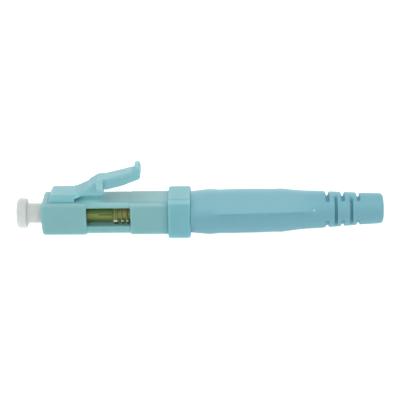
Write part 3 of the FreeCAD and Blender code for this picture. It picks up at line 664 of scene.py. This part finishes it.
def round_long_edges(piece, corner, passes):
    """Rounds a square piece's four long edges, beyond a distance from its two middle planes."""
    group = piece.vertex_groups.new(name="long")
    beyond = [v.index for v in piece.data.vertices if min(abs(v.co.y), abs(v.co.z)) > corner]
    group.add(beyond, 1.0, "REPLACE")
    modified(piece, "SMOOTH", factor=0.5, iterations=passes, vertex_group="long")
    piece.vertex_groups.clear()


def turned(name, rings, sides):
    """A closed turned shape along X through rings of (x, radius), extruded one after the other."""
    first_x, first_radius = rings[0]
    bpy.ops.mesh.primitive_circle_add(
        vertices=sides, radius=first_radius, location=(first_x, 0, 0), rotation=(0, math.pi / 2, 0)
    )
    piece = added(name)
    bpy.ops.object.transform_apply(location=True, rotation=True, scale=True)
    bpy.ops.object.mode_set(mode="EDIT")
    bpy.ops.mesh.select_all(action="SELECT")
    x, radius = first_x, first_radius
    for next_x, next_radius in rings[1:]:
        bpy.ops.mesh.extrude_region_move(TRANSFORM_OT_translate={"value": (next_x - x, 0, 0)})
        share = next_radius / radius
        bpy.ops.transform.resize(value=(1, share, share), center_override=(next_x, 0, 0))
        x, radius = next_x, next_radius
    bpy.ops.mesh.select_all(action="SELECT")
    bpy.ops.mesh.remove_doubles(threshold=1e-5)
    bpy.ops.mesh.normals_make_consistent(inside=False)
    bpy.ops.object.mode_set(mode="OBJECT")
    return piece


def eased(stations, step):
    """Rings between stations of (x, radius), on a smooth curve through them."""
    rings = []
    for i in range(len(stations) - 1):
        before = stations[max(i - 1, 0)]
        start, end = stations[i], stations[i + 1]
        after = stations[min(i + 2, len(stations) - 1)]
        span = end[0] - start[0]
        slope_in = (end[1] - before[1]) / (end[0] - before[0]) * span
        slope_out = (after[1] - start[1]) / (after[0] - start[0]) * span
        count = max(1, round(span / step))
        for n in range(count):
            t = n / count
            share = t * t * (3 - 2 * t)
            radius = start[1] + (end[1] - start[1]) * share
            radius += slope_in * t * (1 - t) ** 2 - slope_out * t * t * (1 - t)
            rings.append((start[0] + span * t, radius))
    return rings + [stations[-1]]


def round_arc(x, radius, size, start, end, count=6):
    """Rings round a quarter-turn rim with its centre at (x, radius), between two angles in degrees."""
    rings = []
    for i in range(count + 1):
        angle = math.radians(start + (end - start) * i / count)
        rings.append((x + size * math.cos(angle), radius + size * math.sin(angle)))
    return rings


def settled(piece, finish, body, nodes, smooth=40):
    """Scales a finished piece to metres, gives it its finish and puts it on its body."""
    piece.data.transform(Matrix.Scale(MM, 4))
    piece.data.materials.clear()
    piece.data.materials.append(finish.material)
    choose(piece)
    bpy.ops.object.shade_smooth_by_angle(angle=math.radians(smooth))
    if body:
        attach(piece, body)
    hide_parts(*nodes)


def repaint(node, finish):
    """Gives a CAD node a better material."""
    mesh = frame["nodes"][node].data
    mesh.materials.clear()
    mesh.materials.append(finish.material)


# ---- Pieces -----------------------------------------------------------------------------------------
class CONNECTOR_OT_housing(bpy.types.Operator):
    """Square plug body with its windows, without the latch base"""

    bl_idname = "connector.housing"
    bl_label = "Plug housing"

    def execute(self, context):
        sizes = context.scene.connector_sizes
        piece = copied("plug_housing", "plug_body")
        reach = LEVER_LOW.x + 1
        carve(piece, cube("above", (-1, -CUT_REACH, BODY_TOP), (reach, CUT_REACH, BODY_TOP + 3)))
        # the rear face runs past the collar's front, so that its rim stays sharp when it is cut
        drawn(piece, lambda place, normal: place.x > HOUSING_HIGH.x - 0.01, (sizes.edge_reach, 0, 0))
        moulded(piece, sizes.voxel, sizes.soften)
        round_long_edges(piece, BODY_TOP - 0.7, 4)
        # the nose is bowed from top to bottom, and the underside and the waist are fuller
        drawn(piece, self.on_nose, (-NOSE_BOW, 0, 0), NOSE_REACH)
        drawn(piece, self.beneath, (0, 0, -SOLE_GAIN))
        drawn(piece, self.on_waist, (0, 0, WAIST_GAIN), WAIST_REACH)
        carve(piece, slice_cube("behind", COLLAR_LOW.x, COLLAR_HIGH.x))
        finish = aqua_finish("aqua_housing", context.scene.connector_colours.aqua, housing_tone)
        settled(piece, finish, "plug", ["plug_housing"])
        return {"FINISHED"}

    def on_nose(self, place, normal):
        """Whether a vertex is on the middle of the front face."""
        return place.x < 0.12 and abs(place.z) < 0.5

    def beneath(self, place, normal):
        """Whether a vertex is on the underside."""
        return place.z < 0.4 - BODY_TOP and normal.z < -FACING

    def on_waist(self, place, normal):
        """Whether a vertex is on the top of the slimmer stretch between the blocks."""
        return WAIST[0] < place.x < WAIST[1] and place.z > BODY_TOP - EDGE_RADIUS and normal.z > FACING


class CONNECTOR_OT_latch(bpy.types.Operator):
    """Latch base and lever as one moulding, joined at the lever's root"""

    bl_idname = "connector.latch"
    bl_label = "Latch"

    def execute(self, context):
        sizes = context.scene.connector_sizes
        base = copied("plug_housing", "latch_base")
        foot = (LATCH_FRONT, -LATCH_SIDE, BODY_TOP - LATCH_SUNK)
        carve(base, cube("keep", foot, (LEVER_LOW.x + 1, LATCH_SIDE, BODY_TOP + 3)), "INTERSECT")
        lever = copied("latch_lever", "latch_lever_skin")
        root_x = LEVER_LOW.x + 0.17
        top = HOUSING_HIGH.z
        front, back = root_x - BRIDGE_HALF, root_x + BRIDGE_HALF
        low, high = top - BRIDGE_DEPTH, top - 0.01
        bridge = cube("bridge", (front, -BRIDGE_SIDE, low), (back, BRIDGE_SIDE, high))
        piece = joined("latch_moulding", [base, lever, bridge])
        moulded(piece, sizes.voxel * 0.75, sizes.soften)
        self.round_off(piece)
        drawn(piece, self.at_root, (0, 0, ARM_RISE), ARM_REACH)
        drawn(piece, self.under_thumb, (0, 0, -THUMB_GAIN))
        colour = context.scene.connector_colours.latch
        settled(piece, aqua_finish("aqua_latch", colour, latch_tone), None, ["latch_lever"])
        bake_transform(piece)
        return {"FINISHED"}

    def round_off(self, piece):
        """Rounds the long edges of the base and the arm more than those of the block and thumb piece."""
        group = piece.vertex_groups.new(name="root")
        for vertex in piece.data.vertices:
            if vertex.co.x < ROUND_END and vertex.co.z > BODY_TOP + ROUND_LOW:
                group.add([vertex.index], min(1.0, ROUND_END - vertex.co.x), "REPLACE")
        modified(piece, "SMOOTH", factor=0.5, iterations=14, vertex_group="root")
        piece.vertex_groups.clear()

    def at_root(self, place, normal):
        """Whether a vertex is on the arm's top where it leaves the base."""
        return ARM_START[0] < place.x < ARM_START[1] and place.z > HOUSING_HIGH.z + 0.05

    def under_thumb(self, place, normal):
        """Whether a vertex is on the underside of the thumb piece."""
        return place.x > LEVER_LOW.x + THUMB_START and place.z > THUMB_LOW and normal.z < -FACING


class CONNECTOR_OT_collar(bpy.types.Operator):
    """Square collar that turns the cam"""

    bl_idname = "connector.collar"
    bl_label = "Cam collar"

    def execute(self, context):
        sizes = context.scene.connector_sizes
        piece = copied("cam_collar", "collar_moulding")
        moulded(piece, sizes.voxel, sizes.soften)
        round_long_edges(piece, COLLAR_HIGH.z - 1.1, 25)
        colour = context.scene.connector_colours.collar
        settled(piece, aqua_finish("aqua_collar", colour, collar_tone), "cam", ["cam_collar"])
        return {"FINISHED"}


class CONNECTOR_OT_boot(bpy.types.Operator):
    """Tapered boot with its flexing slots and bores"""

    bl_idname = "connector.boot"
    bl_label = "Boot"

    def execute(self, context):
        sizes = context.scene.connector_sizes
        mouth, end = BOOT_LOW.x, BOOT_HIGH.x + BOOT_OVERRUN
        recess, recess_radius = BOOT_RECESS
        rounding, end_radius = BOOT_END
        stations = [*BOOT_PROFILE, (end - mouth - rounding, end_radius + rounding)]
        skin = eased([(mouth + x, radius) for x, radius in stations], 0.4)
        tube_end = mouth + sizes.tube_reach
        tube, cable = sizes.tube_bore / 2, sizes.cable_bore / 2
        lip = COLLAR_HIGH.x + 0.01
        start = lip - sizes.edge_reach
        rings = [(start, recess_radius), (start, 2.76)] + skin
        rings += round_arc(end - rounding, end_radius, rounding, 80, 0)
        rings += [(end, cable), (tube_end + 1, cable), (tube_end, tube), (mouth + recess, tube)]
        rings += [(mouth + recess, recess_radius), (start, recess_radius)]
        piece = turned("boot_moulding", rings, BOOT_SIDES)
        carve(piece, self.cutters(sizes, mouth))
        moulded(piece, sizes.boot_voxel, sizes.boot_soften)
        piece.data.transform(Matrix.Rotation(math.radians(sizes.boot_roll), 4, "X"))
        pivot = Matrix.Translation((mouth, 0, 0))
        tilt = Matrix.Rotation(math.radians(-sizes.boot_tilt), 4, "Y")
        piece.data.transform(pivot @ tilt @ pivot.inverted())
        # the mouth is cut flat after the boot is tilted, so that it meets the collar squarely
        carve(piece, slice_cube("before", start - 1, lip))
        settled(piece, boot_finish(), "boot", ["boot"])
        return {"FINISHED"}

    def cutters(self, sizes, mouth):
        """Slots in pairs above and below, and between them pairs at the sides."""
        slots = []
        for i in range(5):
            x = mouth + sizes.slot_first + sizes.slot_pitch * i / 2
            radius = 2.44 - 0.06 * sizes.slot_pitch * i / 2
            for side in (-1, 1):
                depth = sizes.lower_depth if i % 2 == 0 and side < 0 else sizes.slot_depth
                slots.append(self.slot(sizes, x, radius, radius - depth, side, i % 2 == 1))
        return joined("slots", slots)

    def slot(self, sizes, x, radius, floor, side, upright):
        """One slot: a ring with a flared rim, kept only where it lies beyond the web."""
        half, flare, outside = sizes.slot_width / 2, sizes.slot_flare, radius + 0.5
        if upright:
            x, half, flare = x + 0.08, half * 1.4, flare * 0.5
        rim = half + flare * (outside - floor) / (radius - floor)
        rings = [(x - half, floor), (x - rim, outside), (x + rim, outside), (x + half, floor)]
        ring = turned("slot", [*rings, rings[0]], SLOT_SIDES)
        low, high = sorted((side * sizes.slot_web / 2, side * 4.0))
        if upright:
            keep = cube("keep", (x - 2, low, -4), (x + 2, high, 4))
        else:
            keep = cube("keep", (x - 2, -4, low), (x + 2, 4, high))
        carve(ring, keep, "INTERSECT")
        return ring


class CONNECTOR_OT_dust_cap(bpy.types.Operator):
    """Push-on dust cap with its knob"""

    bl_idname = "connector.dust_cap"
    bl_label = "Dust cap"

    def execute(self, context):
        front, end, knob = CAP_LOW.x, CAP_HIGH.x, CAP_HIGH.z
        shank, bore, wall = 1.34, 0.645, 1.28
        knob_end = front + KNOB_LENGTH
        rings = [(front - 0.06, 0.001), (front - 0.05, 0.5), (front, 1.1), (front + 0.08, knob - 0.5)]
        rings += round_arc(front + 0.5, knob - 0.45, 0.45, 160, 90)
        rings += round_arc(knob_end - 0.3, knob - 0.3, 0.3, 90, 10)
        rings += [(knob_end, shank + 0.12), (knob_end + 0.03, shank + 0.03), (knob_end + 0.1, shank)]
        rings += [(end - 0.1, shank), (end, shank - 0.1), (end, bore + 0.1), (end - 0.1, bore)]
        rings += [(front + wall, bore), (front + wall, 0.001)]
        piece = turned("dust_cap_moulding", rings, CAP_SIDES)
        settled(piece, cap_finish(), "cap", ["dust_cap"])
        return {"FINISHED"}


class CONNECTOR_OT_spring(bpy.types.Operator):
    """Round-wire spring between the holder and the backbone"""

    bl_idname = "connector.spring"
    bl_label = "Spring"

    def execute(self, context):
        sizes = context.scene.connector_sizes
        wire = sizes.spring_wire / 2
        mean = SPRING_HIGH.y - wire
        length = SPRING_HIGH.x - SPRING_LOW.x - 2 * wire
        turns = length / sizes.spring_pitch
        bpy.ops.mesh.primitive_circle_add(
            vertices=WIRE_SIDES, radius=wire, location=(SPRING_LOW.x + wire, mean, 0), fill_type="NGON"
        )
        piece = added("spring_wire")
        bpy.ops.object.transform_apply(location=True, rotation=True, scale=True)
        bpy.ops.object.mode_set(mode="EDIT")
        bpy.ops.mesh.select_all(action="SELECT")
        bpy.ops.mesh.spin(
            steps=round(turns * SPRING_STEPS),
            angle=-turns * 2 * math.pi,
            center=(0, 0, 0),
            axis=(1, 0, 0),
        )
        bpy.ops.object.mode_set(mode="OBJECT")
        self.wind(piece, length)
        settled(piece, self.finish(context), "plug", ["coil_spring"], smooth=60)
        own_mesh(piece)
        return {"FINISHED"}

    def wind(self, piece, length):
        """Draws the spun rings out along X, in the order that they were spun."""
        rings = len(piece.data.vertices) // WIRE_SIDES
        for index, vertex in enumerate(piece.data.vertices):
            vertex.co.x += length * (index // WIRE_SIDES) / (rings - 1)

    def finish(self, context):
        """Steel with a painted highlight line along its lower side and painted brown shade below it."""
        colour = context.scene.connector_colours.steel
        return metal_finish("spring_steel", colour, 0.22, metallic=0.25, tone=painted_highlight_line)


class CONNECTOR_OT_holder(bpy.types.Operator):
    """Amber ferrule holder seen through the windows"""

    bl_idname = "connector.holder"
    bl_label = "Ferrule holder"

    def execute(self, context):
        barrel = copied("ferrule_holder", "holder_moulding")
        low, high = LIP_UP
        lips = [
            cube("slit_lip", (LIP_FRONT, side - LIP_HALF, low), (FLANGE_FRONT, side + LIP_HALF, high))
            for side in (-LIP_SIDE, LIP_SIDE)
        ]
        piece = joined("holder_moulding", [barrel, *lips])
        moulded(piece, 0.06, 2)
        settled(piece, amber_finish("amber_holder"), "ferrule_unit", ["ferrule_holder"])
        return {"FINISHED"}


class CONNECTOR_OT_inner_pieces(bpy.types.Operator):
    """Finishes of the pieces that show only when the connector is opened"""

    bl_idname = "connector.inner_pieces"
    bl_label = "Inner pieces"

    def execute(self, context):
        planks = amber_finish("amber_planks", 1.4)
        for node in ("lower_splice_plank", "upper_splice_plank", "buffer_plank"):
            repaint(node, planks)
        repaint("ferrule", ceramic_finish())
        repaint("fibre_stub", glass_finish())
        repaint("backbone", aqua_finish("aqua_backbone", context.scene.connector_colours.aqua))
        repaint("crimp_tube", metal_finish("tube_brass", (0.75, 0.56, 0.26), 0.25, (6, 1, 1)))
        repaint("lead_in_liner", cap_finish())
        return {"FINISHED"}


class CONNECTOR_OT_stage(bpy.types.Operator):
    """Pale floor, soft light and the camera"""

    bl_idname = "connector.stage"
    bl_label = "Stage"

    def execute(self, context):
        stage = context.scene.connector_stage
        self.floor(stage)
        self.lights(context, stage)
        self.camera(context, stage)
        return {"FINISHED"}

    def floor(self, stage):
        deselect()
        ground = CAD_BOX[0][2]
        bpy.ops.mesh.primitive_grid_add(
            x_subdivisions=8, y_subdivisions=8, size=6, location=(0, 0, ground)
        )
        floor = added("floor")
        bpy.ops.object.transform_apply(location=True, rotation=True, scale=True)
        paper = Finish("pale_floor", Specular_IOR_Level=0.1, Emission_Strength=stage.glow)
        paper.set("Base Color", paper.mix(paper.noise(40), (0.34, 0.34, 0.34, 1), (0.36, 0.36, 0.36, 1)))
        paper.set("Roughness", 0.85 + 0.1 * paper.noise(30))
        floor.data.materials.append(paper.material)

    def lights(self, context, stage):
        world = bpy.data.worlds.new("studio")
        world.use_nodes = True
        background = world.node_tree.nodes["Background"]
        background.inputs["Color"].default_value = (1, 1, 1, 1)
        background.inputs["Strength"].default_value = stage.fill
        context.scene.world = world
        self.softbox("overhead", (15, -120, 420), 400, stage.key)
        self.softbox("front", (-60, -380, 90), 300, stage.front)
        self.softbox("back", (20, 420, 190), 420, stage.back)

    def softbox(self, name, place, size, power):
        """A round soft light turned to the middle of the connector."""
        light = bpy.data.lights.new(name, "AREA")
        light.shape = "DISK"
        light.size = size * MM
        light.energy = power
        lamp = bpy.data.objects.new(name, light)
        lamp.location = Vector(place) * MM
        toward = Vector((20, 0, 0)) * MM - lamp.location
        lamp.rotation_euler = toward.to_track_quat("-Z", "Y").to_euler()
        bpy.context.scene.collection.objects.link(lamp)

    def camera(self, context, stage):
        lens = bpy.data.cameras.new("camera")
        lens.lens = stage.lens
        lens.sensor_width = 36
        lens.clip_start = 0.01
        lens.clip_end = 20
        camera = bpy.data.objects.new("camera", lens)
        context.scene.collection.objects.link(camera)
        rise = math.radians(stage.elevation)
        stand = Vector((stage.stand_x, -stage.distance * math.cos(rise), stage.distance * math.sin(rise)))
        aim = Vector((stage.aim_x, 0, stage.aim_z))
        stand.z += stage.aim_z
        turn = (aim - stand).to_track_quat("-Z", "Y").to_matrix().to_4x4()
        turn = turn @ Matrix.Rotation(math.radians(stage.roll), 4, "Z")
        camera.matrix_world = Matrix.Translation(stand * MM) @ turn
        context.scene.camera = camera
        context.scene.view_settings.view_transform = "Standard"


class CONNECTOR_PT_panel(bpy.types.Panel):
    """Lists the connector's pieces"""

    bl_idname = "CONNECTOR_PT_panel"
    bl_label = "LC Fibre Connector"
    bl_space_type = "VIEW_3D"
    bl_region_type = "UI"
    bl_category = "Connector"

    def draw(self, context):
        for operator in OPERATORS:
            self.layout.operator(operator.bl_idname)
        for settings in ("connector_sizes", "connector_colours", "connector_stage"):
            group = getattr(context.scene, settings)
            box = self.layout.box()
            for name in group.__annotations__:
                box.prop(group, name)


GROUPS = {
    "connector_sizes": ConnectorSizes,
    "connector_colours": ConnectorColours,
    "connector_stage": ConnectorStage,
}
OPERATORS = (
    CONNECTOR_OT_housing,
    CONNECTOR_OT_latch,
    CONNECTOR_OT_collar,
    CONNECTOR_OT_boot,
    CONNECTOR_OT_dust_cap,
    CONNECTOR_OT_spring,
    CONNECTOR_OT_holder,
    CONNECTOR_OT_inner_pieces,
    CONNECTOR_OT_stage,
)
CLASSES = (*GROUPS.values(), *OPERATORS, CONNECTOR_PT_panel)


def register():
    for item in CLASSES:
        bpy.utils.register_class(item)
    for name, group in GROUPS.items():
        setattr(bpy.types.Scene, name, PointerProperty(type=group))


def unregister():
    for name in GROUPS:
        delattr(bpy.types.Scene, name)
    for item in reversed(CLASSES):
        bpy.utils.unregister_class(item)


def main():
    register()
    deselect()
    for operator in OPERATORS:
        group, name = operator.bl_idname.split(".")
        getattr(getattr(bpy.ops, group), name)()


if __name__ == "__main__":
    main()
